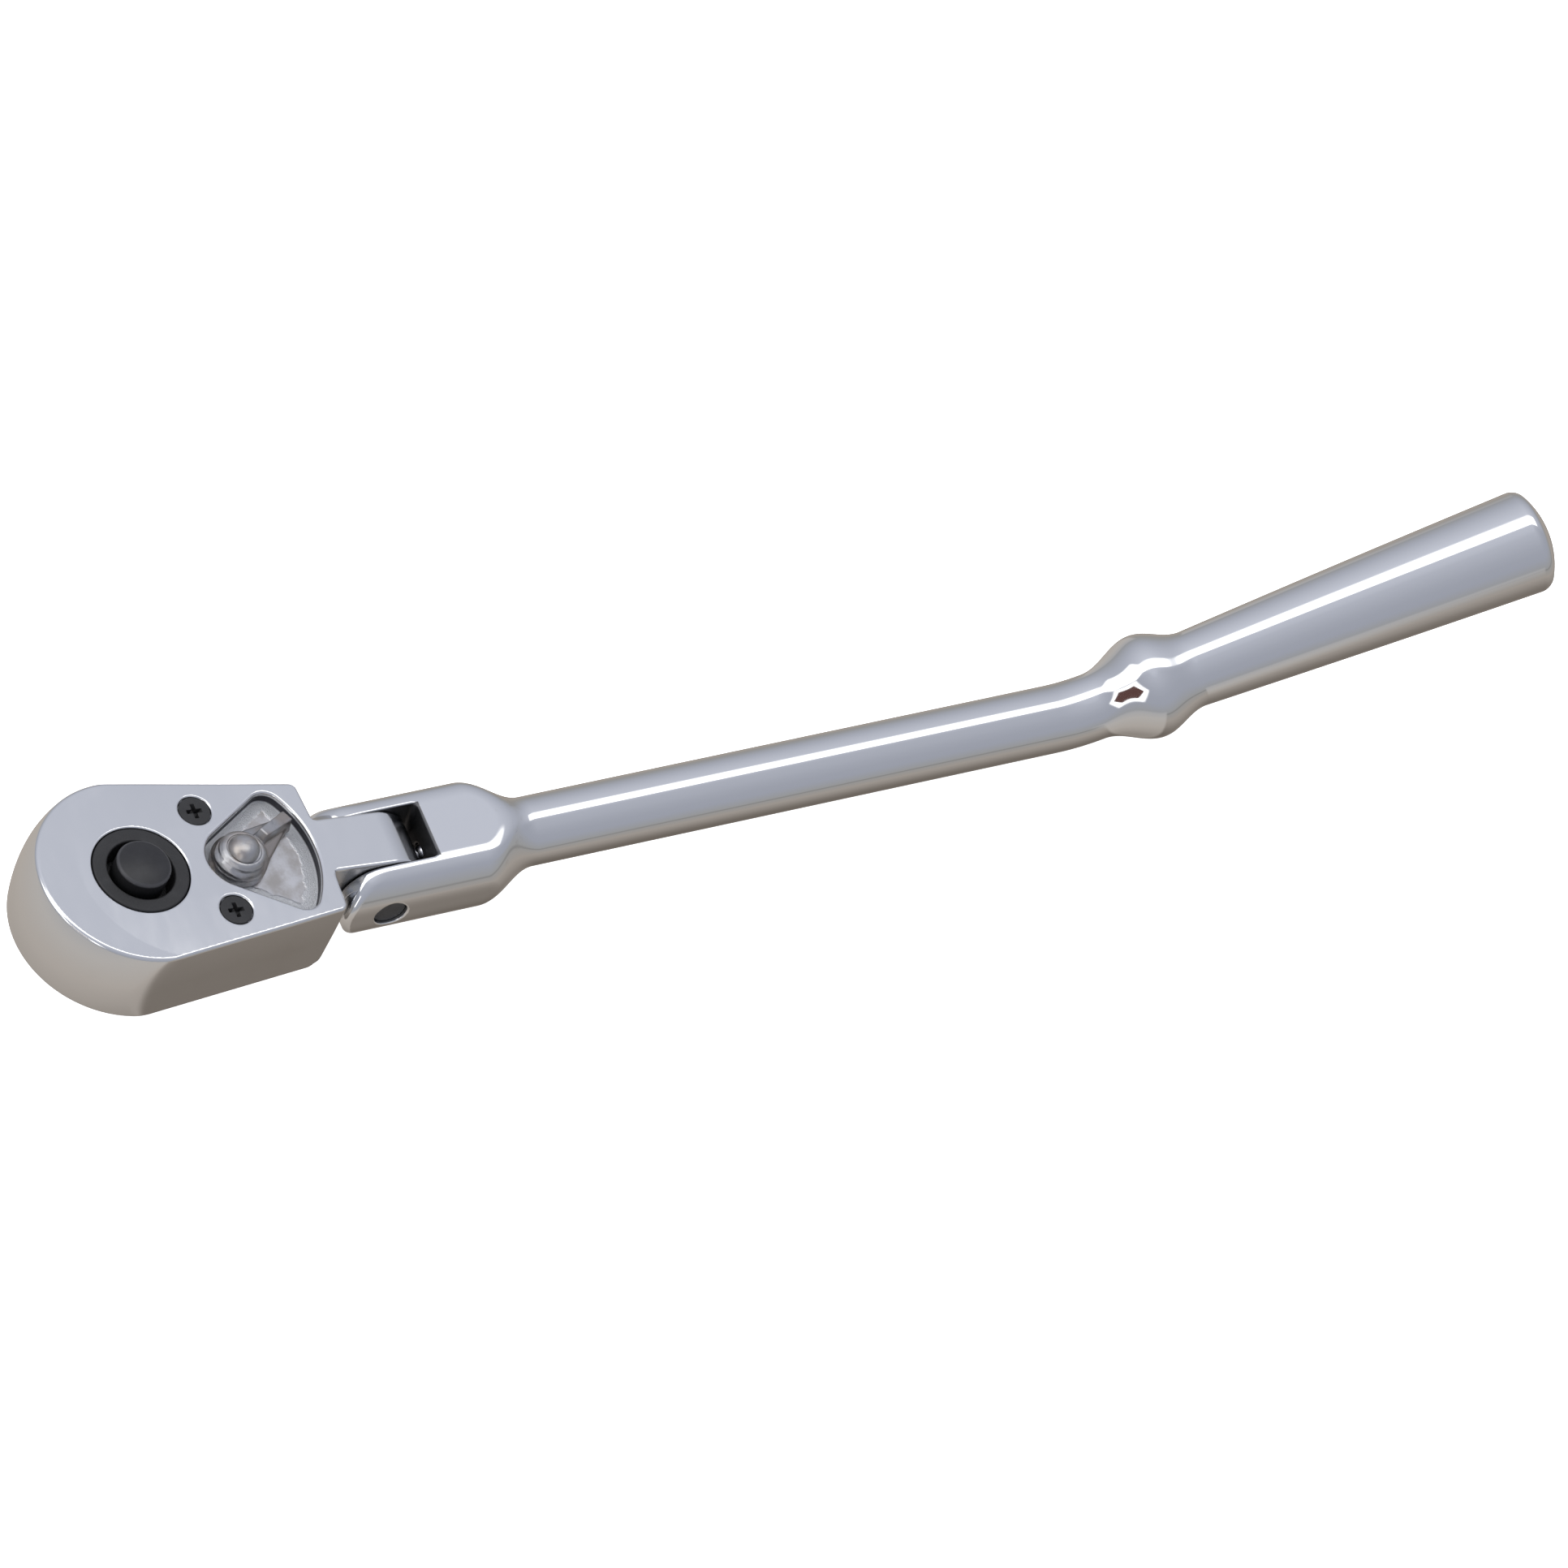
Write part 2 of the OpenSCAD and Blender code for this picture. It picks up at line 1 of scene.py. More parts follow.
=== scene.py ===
import json
import math
import bpy
import numpy as np
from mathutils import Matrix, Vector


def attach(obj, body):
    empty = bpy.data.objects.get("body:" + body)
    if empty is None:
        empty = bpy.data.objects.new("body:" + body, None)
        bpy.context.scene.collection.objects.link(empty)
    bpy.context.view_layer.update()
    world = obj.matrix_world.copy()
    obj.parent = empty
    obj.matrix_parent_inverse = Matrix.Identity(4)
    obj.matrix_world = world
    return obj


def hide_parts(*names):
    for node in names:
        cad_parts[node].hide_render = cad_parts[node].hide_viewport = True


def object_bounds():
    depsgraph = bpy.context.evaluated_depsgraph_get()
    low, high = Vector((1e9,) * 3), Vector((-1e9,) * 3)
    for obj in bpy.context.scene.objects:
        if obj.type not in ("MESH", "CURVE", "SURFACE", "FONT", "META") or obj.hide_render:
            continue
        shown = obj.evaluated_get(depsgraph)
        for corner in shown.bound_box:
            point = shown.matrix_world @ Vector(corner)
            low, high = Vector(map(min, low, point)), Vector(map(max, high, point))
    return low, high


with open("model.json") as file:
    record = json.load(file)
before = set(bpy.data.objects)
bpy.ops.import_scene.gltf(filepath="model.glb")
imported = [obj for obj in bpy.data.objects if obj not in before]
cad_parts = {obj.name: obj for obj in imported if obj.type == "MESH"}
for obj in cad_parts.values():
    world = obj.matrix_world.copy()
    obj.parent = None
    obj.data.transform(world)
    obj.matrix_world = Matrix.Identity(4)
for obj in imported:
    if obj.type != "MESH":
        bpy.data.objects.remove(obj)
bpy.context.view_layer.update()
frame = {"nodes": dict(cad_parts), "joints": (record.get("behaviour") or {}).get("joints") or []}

import openvdb
from mathutils import Euler, Matrix, Vector

scene = bpy.context.scene
scene.view_settings.view_transform = "Standard"

# Where things are: head space has the drive axis up, handle space has the shaft along x

joints = {joint["name"]: joint for joint in frame["joints"]}
headUp = Vector(joints["drive_spin"]["axis"]).normalized()
headSide = Vector((0, 1, 0))
headBack = headSide.cross(headUp)
handleRaise = math.radians(7.7)                          # how far the shaft stands above the head's plane
leverAngle = math.radians(29)                            # how far the lever's arm is turned to the left


def spaceAt(origin, along, up):
    side = up.cross(along)
    turn = Matrix((along, side, up)).transposed()
    return Matrix.Translation(origin) @ turn.to_4x4()


headSpace = spaceAt(Vector(joints["drive_spin"]["pos_m"]), headBack, headUp)
shaftLine = headBack * math.cos(handleRaise) + headUp * math.sin(handleRaise)
handleSpace = spaceAt(Vector(joints["head_flex"]["pos_m"]), shaftLine, shaftLine.cross(headSide))
leverPivot = Vector(joints["lever_turn"]["pos_m"])
armLine = headBack * math.cos(leverAngle) + headSide * math.sin(leverAngle)
headPlan = headSpace.inverted()
pinX = (headPlan @ Vector(joints["head_flex"]["pos_m"])).x * 1000
leverX = (headPlan @ leverPivot).x * 1000
topZ = (headPlan @ leverPivot).z * 1000                  # the top face of the head, in millimetres
print("spaces: flex pin at", round(pinX, 2), "lever at", round(leverX, 2), "top face", round(topZ, 2))

# Camera

cameraLook = {"place": (-0.344463, -0.580206, 1.012940), "turn": (34.5757, -11.4764, -22.8230), "lens": 168.239}
camera = bpy.data.objects.new("camera", bpy.data.cameras.new("camera"))
camera.location = cameraLook["place"]
camera.rotation_euler = Euler([math.radians(angle) for angle in cameraLook["turn"]])
camera.data.lens = cameraLook["lens"]
camera.data.sensor_width = 36
camera.data.clip_start = 0.01
scene.collection.objects.link(camera)
scene.camera = camera

# Solids from distance fields, in millimetres: a value below zero is inside the metal


def ease(low, high, share):
    share = np.clip(share, 0, 1)
    return low + (high - low) * (1 - np.cos(np.pi * share)) / 2


def meet(first, second, radius=0.0):                     # what two shapes share, its edge rounded
    if isinstance(radius, float) and radius == 0:
        return np.maximum(first, second)
    edge = np.hypot(np.maximum(first + radius, 0), np.maximum(second + radius, 0))
    return np.minimum(np.maximum(first, second), -radius) + edge


def fuse(first, second, radius=0.0):                     # two shapes as one, the corner between them filled
    return -meet(-first, -second, radius)


def cut(body, tool, radius=0.0):
    return meet(body, -tool, radius)


def band(value, low, high):
    return np.maximum(low - value, value - high)


def steps(low, high, step):
    return np.linspace(low, high, int(round((high - low) / step)) + 1)


def slope(field, spots, reach=0.02):
    rise = np.empty_like(spots)
    for axis in range(3):
        shift = np.zeros(3)
        shift[axis] = reach
        rise[:, axis] = (field(*(spots + shift).T) - field(*(spots - shift).T)) / (2 * reach)
    return rise


def carve(name, field, xs, ys, zs, place, most=190000, bend=None):
    values = np.empty((len(xs), len(ys), len(zs)), np.float32)
    for start in range(0, len(xs), 16):
        part = field(xs[start:start + 16, None, None], ys[None, :, None], zs[None, None, :])
        values[start:start + 16] = np.clip(part, -3, 3)
    grid = openvdb.FloatGrid(background=3.0)
    grid.copyFromArray(values)
    points, quads = grid.convertToQuads(isovalue=0.0)
    spots = np.stack([np.interp(points[:, k], np.arange(len(line)), line) for k, line in enumerate((xs, ys, zs))], 1)
    mesh = bpy.data.meshes.new(name)
    mesh.from_pydata(spots.tolist(), [], quads.tolist())
    mesh.update()
    piece = bpy.data.objects.new(name, mesh)
    scene.collection.objects.link(piece)
    if 2 * len(quads) > most:
        thin = piece.modifiers.new("thin", "DECIMATE")
        thin.ratio = most / (2 * len(quads))
        thin.use_collapse_triangulate = True
        graph = bpy.context.evaluated_depsgraph_get()
        lighter = bpy.data.meshes.new_from_object(piece.evaluated_get(graph))
        piece.modifiers.clear()
        piece.data = lighter
        bpy.data.meshes.remove(mesh)
        mesh = lighter
        mesh.name = name
    flat = np.empty(len(mesh.vertices) * 3)
    mesh.vertices.foreach_get("co", flat)
    spots = flat.reshape(-1, 3).astype(float)
    for _ in range(4):                                   # onto the true surface
        rise = slope(field, spots)
        size = np.maximum((rise * rise).sum(1), 0.05)
        spots -= np.clip(field(*spots.T) / size, -0.15, 0.15)[:, None] * rise
    rise = slope(field, spots)
    normals = rise / np.maximum(np.linalg.norm(rise, axis=1), 1e-6)[:, None]
    if bend is not None:
        spots, normals = bend(spots, normals)
    mesh.vertices.foreach_set("co", (spots * 0.001).ravel())
    mesh.update()
    outward = sum(mesh.polygons[i].normal.dot(Vector(normals[mesh.polygons[i].vertices[0]]))
                  for i in range(0, len(mesh.polygons), 97))
    if outward < 0:
        mesh.flip_normals()
    mesh.polygons.foreach_set("use_smooth", np.ones(len(mesh.polygons), bool))
    mesh.update()
    mesh.normals_split_custom_set_from_vertices([tuple(normal) for normal in normals])
    piece.matrix_world = place
    print(name, "has", len(mesh.polygons), "faces")
    return piece


# Shader nodes as sums


class Wire:                                              # a socket that takes part in Python sums
    def __init__(self, recipe, socket):
        self.recipe, self.socket = recipe, socket

    def sum(self, operation, *values):
        return self.recipe.maths(operation, *values)

    def __add__(self, other):
        return self.sum("ADD", self, other)

    __radd__ = __add__

    def __sub__(self, other):
        return self.sum("SUBTRACT", self, other)

    def __rsub__(self, other):
        return self.sum("SUBTRACT", other, self)

    def __mul__(self, other):
        return self.sum("MULTIPLY", self, other)

    __rmul__ = __mul__

    def __truediv__(self, other):
        return self.sum("DIVIDE", self, other)

    def __rtruediv__(self, other):
        return self.sum("DIVIDE", other, self)

    def __abs__(self):
        return self.sum("ABSOLUTE", self)

    def least(self, other):
        return self.sum("MINIMUM", self, other)

    def most(self, other):
        return self.sum("MAXIMUM", self, other)

    def fade(self, start, end):                          # 0 before start, 1 after end, smooth between
        return self.recipe.add("ShaderNodeMapRange", {"interpolation_type": "SMOOTHSTEP"},
                               {"Value": self, "From Min": start, "From Max": end})


class Recipe:                                            # the nodes of one material, or of the world
    def __init__(self, name, owner=None):
        self.owner = owner or bpy.data.materials.new(name)
        self.owner.use_nodes = True
        self.tree = self.owner.node_tree
        self.tree.nodes.clear()

    def add(self, kind, settings=None, values=None, output=0):
        node = self.tree.nodes.new(kind)
        for key, setting in (settings or {}).items():
            if key == "stops":
                while len(node.color_ramp.elements) < len(setting):
                    node.color_ramp.elements.new(0.5)
                for element, (place, colour) in zip(node.color_ramp.elements, setting):
                    element.position = place
                    element.color = (*colour, 1)
            else:
                setattr(node, key, setting)
        for key, value in (values or {}).items():
            socket = node.inputs[key]
            if isinstance(value, Wire):
                self.tree.links.new(value.socket, socket)
            elif isinstance(value, tuple) and socket.type == "RGBA":
                socket.default_value = (*value, 1)
            else:
                socket.default_value = value
        return Wire(self, node.outputs[output]) if len(node.outputs) else None

    def maths(self, operation, *values):
        return self.add("ShaderNodeMath", {"operation": operation}, dict(enumerate(values)))

    def spot(self):                                      # object coordinates, and their three parts
        place = self.add("ShaderNodeTexCoord", output="Object")
        parts = [self.add("ShaderNodeSeparateXYZ", None, {0: place}, axis) for axis in range(3)]
        return place, *parts

    def noise(self, place, scale, detail=3.0, stretch=(1, 1, 1), rough=0.5):
        if stretch != (1, 1, 1):
            place = self.add("ShaderNodeVectorMath", {"operation": "MULTIPLY"}, {0: place, 1: stretch})
        return self.add("ShaderNodeTexNoise", None,
                        {"Vector": place, "Scale": scale, "Detail": detail, "Roughness": rough})

    def blend(self, share, first, second):
        node = {"data_type": "RGBA", "blend_type": "MIX"}
        return self.add("ShaderNodeMix", node, {0: share, 6: first, 7: second}, 2)

    def bump(self, height, distance=1.0):
        return self.add("ShaderNodeBump", None, {"Height": height, "Distance": distance})

    def shade(self, **values):
        shader = self.add("ShaderNodeBsdfPrincipled", None,
                          {key.replace("_", " "): value for key, value in values.items()})
        self.add("ShaderNodeOutputMaterial", None, {0: shader})
        return self.owner


def tone(level, red=0.0, green=0.0, blue=0.0, gain=1.0):  # a screen level of 0 to 255 as a linear colour
    return tuple(gain * (((max(level + shift, 0) / 255 + 0.055) / 1.055) ** 2.4 if level + shift > 10.3
                         else (level + shift) / 255 / 12.92) for shift in (red, green, blue))


# Finishes

# the darker pair of colours in this table is painted shade for the inside of the slot
chromeLook = {"tint": (0.80, 0.805, 0.815), "dull": (0.70, 0.69, 0.67), "rough": 0.035, "roughSpread": 0.05,
              "wave": 0.00005, "lines": 0.0000012, "speck": 0.0000008,
              "paintedShade": (0.10, 0.10, 0.105), "paintedShadeLight": (0.20, 0.20, 0.21)}


def polishedChrome():
    look = chromeLook
    recipe = Recipe("polishedChrome")
    place, x, y, z = recipe.spot()
    cloud = recipe.noise(place, 55, 4)
    smear = recipe.noise(place, 240, 5, (0.25, 1, 1), 0.6)
    rub = recipe.noise(place, 900, 3, (0.06, 1, 1), 0.6)             # buffing marks run along the shaft
    pits = recipe.noise(place, 2600, 2).fade(0.70, 0.80)
    stain = recipe.noise(place, 130, 4, rough=0.65).fade(0.52, 0.66)
    neck = (1 - (abs(x - 0.0235) / 0.0055).fade(0.3, 1.0)) * z.fade(0.0035, 0.006)
    dirt = (stain * neck * 0.8).most(cloud.fade(0.62, 0.80) * 0.10)
    colour = recipe.blend(dirt, look["tint"], look["dull"])
    slotShade = (1 - abs(y).fade(0.00545, 0.0056)) * (1 - x.fade(0.0093, 0.0095))       # painted shade: the inside of the slot darker, with rougher unplated metal
    colour = recipe.blend(slotShade, colour, recipe.blend(cloud, look["paintedShade"], look["paintedShadeLight"]))
    rough = look["rough"] + smear.fade(0.35, 0.75) * look["roughSpread"] + dirt * 0.18 + pits * 0.05 + slotShade * 0.35
    height = recipe.noise(place, 38, 1) * look["wave"] + rub * look["lines"] - pits * look["speck"]
    return recipe.shade(Base_Color=colour, Metallic=1.0, Roughness=rough, Normal=recipe.bump(height))


# the two darkest colours in this table are painted shade, for the tongue's sides and the recess wall
satinLook = {"tint": (0.80, 0.805, 0.815), "dull": (0.64, 0.62, 0.59), "rough": 0.11, "roughSpread": 0.07,
             "cast": (0.90, 0.91, 0.92), "floor": (0.42, 0.40, 0.385), "floorLight": (0.62, 0.62, 0.64),
             "shadedWall": (0.07, 0.07, 0.078), "paintedShade": (0.16, 0.16, 0.17), "wave": 0.00003, "grain": 0.0000016}


def satinChrome(recessed=True):
    look = satinLook
    recipe = Recipe("satinChrome" if recessed else "satinChromePlain")
    place, x, y, z = recipe.spot()
    cloud = recipe.noise(place, 60, 5, rough=0.6)
    grain = recipe.noise(place, 5200, 3, rough=0.6)
    smear = recipe.noise(place, 320, 5, (1, 0.3, 1), 0.65)
    dirt = cloud.fade(0.56, 0.76) * 0.22
    rough = look["rough"] + smear.fade(0.3, 0.8) * look["roughSpread"] + dirt * 0.3
    height = recipe.noise(place, 45, 1) * look["wave"] + grain * look["grain"]
    colour = recipe.blend(dirt, look["tint"], look["dull"])
    if not recessed:
        return recipe.shade(Base_Color=colour, Metallic=1.0, Roughness=rough, Normal=recipe.bump(height))
    x, y, z = x * 1000, abs(y) * 1000, z * 1000
    arc = recessLook["arcRadius"] - recipe.maths("SQRT", (x - recessLook["arcX"]) * (x - recessLook["arcX"]) + y * y)
    side = recessLean[1] * (recessLook["hubX"] - x) - recessLean[0] * y + recessLook["hub"]
    inset = arc.least(side)                              # how far inside the recess's edge
    deep = (1 - z.fade(topZ - 0.95, topZ - 0.65)) * z.fade(topZ - 2.7, topZ - 2.6) * inset.fade(-0.5, -0.3)
    floor = (1 - z.fade(topZ - 2.25, topZ - 2.05)) * deep
    ragged = inset + (recipe.noise(place, 700, 3) - 0.5) * 1.4
    sand = (1 - ragged.fade(2.1, 2.7)) * floor
    plain = floor * (1 - sand)
    # painted shade: the recess wall made nearly black, on metal taken as unplated and rougher
    shadedWall = deep * (1 - floor)
    grit = recipe.noise(place, 4200, 4, rough=0.7)
    mottle = recipe.noise(place, 260, 4, rough=0.6)
    brown = recipe.blend(mottle.fade(0.35, 0.7), look["floor"], look["floorLight"])
    cheekShade = 1 - abs(y - headLook["tongueHalf"]).fade(0.05, 0.15)  # painted shade: the tongue's sides darkened, standing for the dark ear walls they mirror
    cheekShade = cheekShade * x.fade(headLook["rearX"] + 1, headLook["rearX"] + 3)
    colour = recipe.blend(cheekShade * 0.7, colour, look["paintedShade"])
    colour = recipe.blend(plain, colour, brown)
    colour = recipe.blend(sand, colour, look["cast"])
    colour = recipe.blend(shadedWall, colour, look["shadedWall"])
    rough = rough + plain * 0.20 + sand * 0.26 + shadedWall * 0.25 + cheekShade * 0.2
    height = height + sand * grit * 0.00026 + plain * mottle * 0.00003 + shadedWall * grit * 0.00003
    return recipe.shade(Base_Color=colour, Metallic=1.0, Roughness=rough, Normal=recipe.bump(height))


def darkSteel(name, base, worn, rough, grainScale, grain, metal=0.0):
    recipe = Recipe(name)
    place, x, y, z = recipe.spot()
    fine = recipe.noise(place, grainScale, 3, rough=0.65)
    cloud = recipe.noise(place, 300, 4)
    rub = recipe.noise(place, 1500, 2, (1, 0.1, 1)).fade(0.66, 0.78)
    colour = recipe.blend((cloud.fade(0.45, 0.8) * 0.5).most(rub * 0.35), base, worn)
    return recipe.shade(Base_Color=colour, Metallic=metal, Roughness=rough + fine * 0.14 - rub * 0.08,
                        Normal=recipe.bump(fine, grain))


def brightSteel(name, base, worn, rough, scale, stretch, bump):
    recipe = Recipe(name)
    place, x, y, z = recipe.spot()
    lines = recipe.noise(place, scale, 3, stretch, 0.6)
    cloud = recipe.noise(place, 400, 4, rough=0.6)
    colour = recipe.blend(cloud.fade(0.4, 0.75), base, worn)
    return recipe.shade(Base_Color=colour, Metallic=1.0, Roughness=rough + lines * 0.12 + cloud * 0.06,
                        Normal=recipe.bump(lines, bump))


castLook = {"grey": (0.50, 0.50, 0.51), "tan": (0.44, 0.40, 0.37), "dark": (0.22, 0.22, 0.24), "rough": 0.24}


def castChrome():
    look = castLook
    recipe = Recipe("castChrome")
    place, x, y, z = recipe.spot()
    cloud = recipe.noise(place, 420, 5, rough=0.65)
    grit = recipe.noise(place, 3200, 4, rough=0.7)
    tan = recipe.noise(place, 170, 3).fade(0.42, 0.60)
    colour = recipe.blend(tan, look["grey"], look["tan"])
    colour = recipe.blend(cloud.fade(0.50, 0.78) * 0.7, colour, look["dark"])
    height = cloud * 0.00009 + grit * 0.000014
    return recipe.shade(Base_Color=colour, Metallic=1.0, Roughness=look["rough"] + cloud * 0.14 + grit * 0.05,
                        Normal=recipe.bump(height))


def buttonBlack():                                       # satin black, with a painted highlight on the bead round the top and painted shade down the side
    recipe = Recipe("buttonBlack")
    place, x, y, z = recipe.spot()
    fine = recipe.noise(place, 5200, 3, rough=0.65)
    cloud = recipe.noise(place, 300, 4)
    out = recipe.maths("SQRT", x * x + y * y) * 1000
    # painted highlight: a paler line along the bead round the top
    bead = out.fade(buttonLook["radius"] - 0.55, buttonLook["radius"] - 0.25)
    bead = bead * (z * 1000).fade(topZ + 1.15, topZ + 1.4)
    # painted shade: the side made darker, standing for the dark hole round it
    side = 1 - (z * 1000).fade(topZ + 0.9, topZ + 1.3)
    colour = recipe.blend(cloud.fade(0.4, 0.8), (0.013, 0.013, 0.015), (0.021, 0.021, 0.024))
    colour = recipe.blend(bead * 0.8, colour, (0.055, 0.055, 0.060))
    colour = recipe.blend(side, colour, (0.006, 0.006, 0.007))
    return recipe.shade(Base_Color=colour, Roughness=0.30 + fine * 0.14 + side * 0.2,
                        Normal=recipe.bump(fine, 0.000012))


def rubber():
    recipe = Recipe("sealRubber")
    place, x, y, z = recipe.spot()
    fine = recipe.noise(place, 3000, 3)
    colour = recipe.blend(fine, (0.018, 0.018, 0.018), (0.035, 0.034, 0.033))
    return recipe.shade(Base_Color=colour, Roughness=0.55 + fine * 0.2, Normal=recipe.bump(fine, 0.00004))


# Handle: fork, shaft, bend, collar and grip in one bar

handleLook = {"forkRadius": 10.6, "halfHeight": 8.0, "forkTrim": 10.3, "earRadius": 8.4, "flatEdge": 1.3,
              "earEdge": 1.1,
              "neckStart": 17.4, "neckEnd": 28.7, "shaftRadius": 6.0, "bendAt": 133.9, "bendAngle": 17.3,
              "bendRadius": 28.0, "collarAt": 14.5, "collarRadius": 9.43, "collarFoot": 23.2, "gripNeck": 6.9,
              "gripEnd": 9.36, "taperEnd": 88.0, "gripLength": 91.7, "belly": 0.045,
              "domeRadius": 16.0, "endEdge": 1.1,
              "slotHalf": 5.4, "slotBack": 9.0, "slotCorner": 1.0, "slotEdge": 0.5, "pinRadius": 2.9, "pinEdge": 0.3,
              "boreRadius": 2.0, "boreEnd": 21.0}
bendAngle = math.radians(handleLook["bendAngle"])
bendTangent = handleLook["bendRadius"] * math.tan(bendAngle / 2)
bendStart = handleLook["bendAt"] - bendTangent
bendEnd = bendStart + handleLook["bendRadius"] * bendAngle
gripStart = bendEnd - bendTangent                        # where the grip's own lengths start


def barRadius(s):
    look = handleLook
    d = s - gripStart
    neckShare = (s - look["neckStart"]) / (look["neckEnd"] - look["neckStart"])
    riseShare = (d - bendTangent) / (look["collarAt"] - bendTangent)
    fallShare = (d - look["collarAt"]) / (look["collarFoot"] - look["collarAt"])
    share = (d - look["collarFoot"]) / (look["taperEnd"] - look["collarFoot"])
    fork = ease(look["forkRadius"], look["shaftRadius"], neckShare)
    rise = ease(look["shaftRadius"], look["collarRadius"], riseShare)
    fall = ease(look["collarRadius"], look["gripNeck"], fallShare)
    belly = share + look["belly"] * np.sin(np.pi * np.clip(share, 0, 1))
    swell = look["gripNeck"] + (look["gripEnd"] - look["gripNeck"]) * belly
    grip = np.where(d < look["collarFoot"], fall, swell)
    return np.where(d < bendTangent, fork, np.where(d < look["collarAt"], rise, grip))


def handleField(s, y, t):
    look = handleLook
    radius = barRadius(s)
    lean = (barRadius(s + 0.05) - barRadius(s - 0.05)) / 0.1
    out = np.hypot(y, t)
    bar = (out - radius) / np.sqrt(1 + lean * lean)
    fork = meet(bar, np.abs(t) - look["halfHeight"], look["flatEdge"])
    fork = meet(fork, np.abs(y) - look["forkTrim"], 0.3)
    ear = np.where(s > 0, np.abs(t), np.hypot(s, t)) - look["earRadius"]
    fork = meet(fork, ear, look["earEdge"])
    slot = meet(np.abs(y) - look["slotHalf"], s - look["slotBack"], look["slotCorner"])
    fork = cut(fork, slot, look["slotEdge"])
    fork = cut(fork, np.hypot(s, t) - look["pinRadius"], look["pinEdge"])
    bore = meet(out - look["boreRadius"], band(s, 0, look["boreEnd"]))
    fork = cut(fork, bore, 0.2)
    d = s - gripStart
    centre = look["gripLength"] - look["domeRadius"]
    dome = np.where(d > centre, np.hypot(out, d - centre) - look["domeRadius"], -5.0)
    grip = meet(bar, dome, look["endEdge"])
    return np.where(s < 60, fork, np.where(s < gripStart + 60, bar, grip))


def bendHandle(spots, normals):
    radius = handleLook["bendRadius"]
    s, y, t = spots.T
    angle = np.clip((s - bendStart) / radius, 0, bendAngle)
    after = np.maximum(s - bendEnd, 0)
    before = np.minimum(s, bendStart)
    x = before + (radius - t) * np.sin(angle) + after * np.cos(angle)
    z = radius - (radius - t) * np.cos(angle) + after * np.sin(angle)
    nx, ny, nz = normals.T
    turned = np.stack([nx * np.cos(angle) - nz * np.sin(angle), ny, nx * np.sin(angle) + nz * np.cos(angle)], 1)
    return np.stack([x, y, z], 1), turned


def makeHandle():
    stations = np.concatenate([steps(-9.0, 34, 0.27)[:-1], steps(34, bendStart, 1.3)[:-1],
                               steps(bendStart, bendEnd, 0.7)[:-1], steps(bendEnd, gripStart + 26, 0.3)[:-1],
                               steps(gripStart + 26, gripStart + 84, 1.0)[:-1],
                               steps(gripStart + 84, gripStart + 92.4, 0.25)])
    ring = steps(-11.2, 11.2, 0.28)
    return carve("handle_bar", handleField, stations, ring, ring, handleSpace, bend=bendHandle)


# Head casting

headLook = {"noseTop": 17.75, "noseLow": 18.3, "noseBulge": 19.05, "sideTop": 17.6, "side": 17.88, "widestZ": 8.0,
            "sideTaper": 8.4, "rearX": 34.1, "rearSlope": 0.065, "cornerEdge": 1.1, "edge": 0.5,
            "heel": 4.0, "crown": 500.0, "crownDrop": 0.35, "tongueHalf": 5.3, "inner": 0.8, "boss": 8.42,
            "bossEdge": 0.35, 
            "screwX": 13.6, "screwY": 10.05, "screwRadius": 2.87, "screwDepth": 1.6, "screwEdge": 0.35, "pin": 2.95}
recessLook = {"hub": 6.0, "hubX": 18.2, "cornerX": 26.4, "cornerY": 8.8, "corner": 3.0, "arcX": 13.0,
              "arcRadius": 19.03,
              "depth": 2.3, "rim": 0.5, "fillet": 0.45}


def hullOfTwo(x, y, x0, y0, r0, x1, y1, r1):             # outline round two circles and the lines that touch both
    length = math.hypot(x1 - x0, y1 - y0)
    ux, uy = (x1 - x0) / length, (y1 - y0) / length
    along = (x - x0) * ux + (y - y0) * uy
    across = np.abs((y - y0) * ux - (x - x0) * uy)
    lean = (r0 - r1) / length
    flat = math.sqrt(1 - lean * lean)
    position = along * flat - across * lean
    first = np.hypot(along, across) - r0
    second = np.hypot(along - length, across) - r1
    middle = across * flat + along * lean - r0
    return np.where(position < 0, first, np.where(position > length * flat, second, middle))


def recessOutline(x, y):
    look = recessLook
    y = np.abs(y)
    edge = hullOfTwo(x, y, look["hubX"], 0, look["hub"], look["cornerX"], look["cornerY"], look["corner"])
    dx, dy = look["cornerX"] - look["arcX"], look["cornerY"]
    arc = np.hypot(x - look["arcX"], y) - math.hypot(dx, dy) - look["corner"]
    inSector = (x > look["arcX"]) & (y * dx < (x - look["arcX"]) * dy)
    inner = (x - look["hubX"]) * dy - y * (look["cornerX"] - look["hubX"]) > 0
    edge = np.where(inner & (x < look["cornerX"]) & ~inSector, np.minimum(edge, -2.0), edge)
    return np.where(inSector, arc, edge)


recessReach = (recessLook["cornerX"] - recessLook["hubX"], recessLook["cornerY"])
leanAngle = math.atan2(recessReach[1], recessReach[0]) + math.pi / 2
leanAngle -= math.asin((recessLook["hub"] - recessLook["corner"]) / math.hypot(*recessReach))
recessLean = (math.sin(leanAngle), math.cos(leanAngle))  # outward direction of the recess's straight sides


